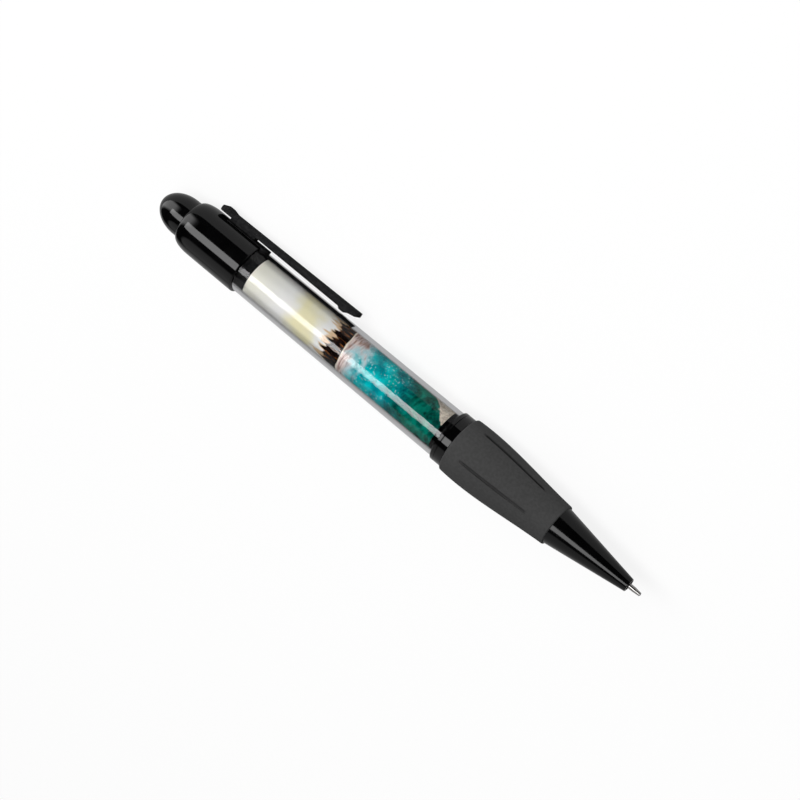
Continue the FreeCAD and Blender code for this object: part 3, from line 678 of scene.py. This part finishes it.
def pen_corners(node):
    """Every corner of a carried-over piece as (place along the pen, radius)."""
    item = frame["nodes"][node]
    back = PEN.inverted() @ item.matrix_world
    places = [back @ corner.co for corner in item.data.vertices]
    return [(place.x, math.hypot(place.y, place.z)) for place in places]


def pen_span(corners):
    """The first and last place along the pen that the corners reach."""
    return min(x for x, radius in corners), max(x for x, radius in corners)


def finished_piece(name, shape, material):
    """A piece from a shape in the pen's own axes, its faces outwards and its edges crisp."""
    bmesh.ops.remove_doubles(shape, verts=shape.verts, dist=MERGE_DISTANCE)
    bmesh.ops.recalc_face_normals(shape, faces=shape.faces)
    bmesh.ops.transform(shape, matrix=PEN, verts=shape.verts)
    mesh = bpy.data.meshes.new(name)
    shape.to_mesh(mesh)
    shape.free()
    mesh.shade_smooth()
    mesh.set_sharp_from_angle(angle=SHARP_EDGE)
    mesh.materials.append(material)
    piece = bpy.data.objects.new(name, mesh)
    bpy.context.scene.collection.objects.link(piece)
    return piece


def spun_piece(name, outline, material):
    """A closed outline of (x, radius) corners spun round the pen's axis, in fine steps."""
    shape = bmesh.new()
    corners = [shape.verts.new((x, 0, radius)) for x, radius in outline]
    edges = [shape.edges.new(pair) for pair in zip(corners, corners[1:] + corners[:1])]
    bmesh.ops.spin(shape, geom=corners + edges, cent=(0, 0, 0), axis=(1, 0, 0),
                   angle=2 * math.pi, steps=ROUND_STEPS, use_merge=True)
    return finished_piece(name, shape, material)


def clear_barrel(material):
    """The clear tube, spun finely so that the picture shows through it without ripples."""
    corners = pen_corners("clear_barrel")
    start, end = pen_span(corners)
    front = [radius for x, radius in corners if x < start + END_REACH]
    rear = [radius for x, radius in corners if x > end - END_REACH]
    outline = [(start, min(front)), (start, max(front)), (end, max(rear)), (end, min(rear))]
    piece = spun_piece("clear_tube", outline, material)
    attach(piece, "barrel")
    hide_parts("clear_barrel")


def wound_spring(material):
    """A wire spring with a closed turn at each end."""
    corners = pen_corners("return_spring")
    start, end = pen_span(corners)
    inside = min(radius for x, radius in corners)
    outside = max(radius for x, radius in corners)
    wire = (outside - inside) / 2
    closed_pitch = 2 * wire + COILS_APART
    open_pitch = (end - start - 2 * wire - 2 * closed_pitch) / OPEN_TURNS
    shape = bmesh.new()
    place = Matrix.Translation((start + wire, 0, inside + wire))
    ring = bmesh.ops.create_circle(shape, cap_ends=False, segments=WIRE_SIDES, radius=wire,
                                   matrix=place @ Matrix.Rotation(math.pi / 2, 4, "X"))
    last = ring["verts"] + shape.edges[:]
    for turns, pitch in ((1, closed_pitch), (OPEN_TURNS, open_pitch), (1, closed_pitch)):
        coil = bmesh.ops.spin(shape, geom=last, cent=(0, 0, 0), axis=(1, 0, 0),
                              angle=2 * math.pi * turns, dvec=(pitch / STEPS_PER_TURN, 0, 0),
                              steps=STEPS_PER_TURN * turns)
        last = coil["geom_last"]
    bmesh.ops.holes_fill(shape, edges=shape.edges, sides=WIRE_SIDES)
    piece = finished_piece("wound_spring", shape, material)
    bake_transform(piece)
    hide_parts("return_spring")


def dress_plastics():
    """The blacks outside, and the plain plastics and the ink inside."""
    gloss = finish("gloss_black", BLACK, roughness=(0.05, 0.09), fineness=300.0,
                   depth=0.002 * MM, IOR=1.45)
    dress(gloss, "push_button", "cap_shell", "lower_collar", "grip_core")
    nose = finish("nose_black", BLACK, roughness=(0.10, 0.14), fineness=300.0,
                  depth=0.002 * MM, IOR=1.4)
    dress(nose, "nose_cone")
    satin = finish("satin_black", CLIP_BLACK, roughness=(0.6, 0.75), fineness=1400.0,
                   depth=0.004 * MM, Specular_IOR_Level=0.01)
    dress(satin, "pocket_clip", "top_coupling")
    liner = finish("liner_white", LINER_WHITE, roughness=(0.35, 0.5), fineness=400.0,
                   depth=0.004 * MM)
    dress(liner, "core_tube")
    cam = finish("cam_plastic", CAM_IVORY, roughness=(0.3, 0.4), fineness=600.0,
                 depth=0.003 * MM)
    dress(cam, "cam_sleeve")
    rotor = finish("rotor_plastic", ROTOR_GREY, roughness=(0.3, 0.4), fineness=600.0,
                   depth=0.003 * MM)
    dress(rotor, "rotor_cam")
    refill = finish("refill_plastic", REFILL_MILKY, roughness=(0.25, 0.35), fineness=500.0,
                    depth=0.003 * MM)
    dress(refill, "refill_tube")
    ink = finish("ink", INK_BLUE, roughness=(0.1, 0.2), fineness=900.0, depth=0.001 * MM)
    dress(ink, "ink_column")


def dress_metals():
    """Steel for the spring, nickel for the tip and carbide for the ball."""
    steel = finish("spring_steel", STEEL, roughness=(0.2, 0.32), fineness=1.0,
                   depth=0.001 * MM, stretch=TURNED, Metallic=1.0)
    wound_spring(steel)
    nickel = finish("tip_metal", NICKEL, roughness=(0.12, 0.2), fineness=1.0,
                    depth=0.001 * MM, stretch=TURNED, Metallic=1.0)
    dress(nickel, "refill_tip")
    carbide = finish("ball_metal", CARBIDE, roughness=(0.08, 0.14), fineness=8000.0,
                     depth=0.0005 * MM, Metallic=1.0)
    dress(carbide, "writing_ball")


make_camera()
make_floor()
make_world()
make_lamp()
dress_plastics()
dress(grip_rubber(), "grip_sleeve")
dress(printed_sheet(), "picture_insert")
dress_metals()
clear_barrel(clear_plastic())
bpy.context.scene.view_settings.view_transform = "Standard"
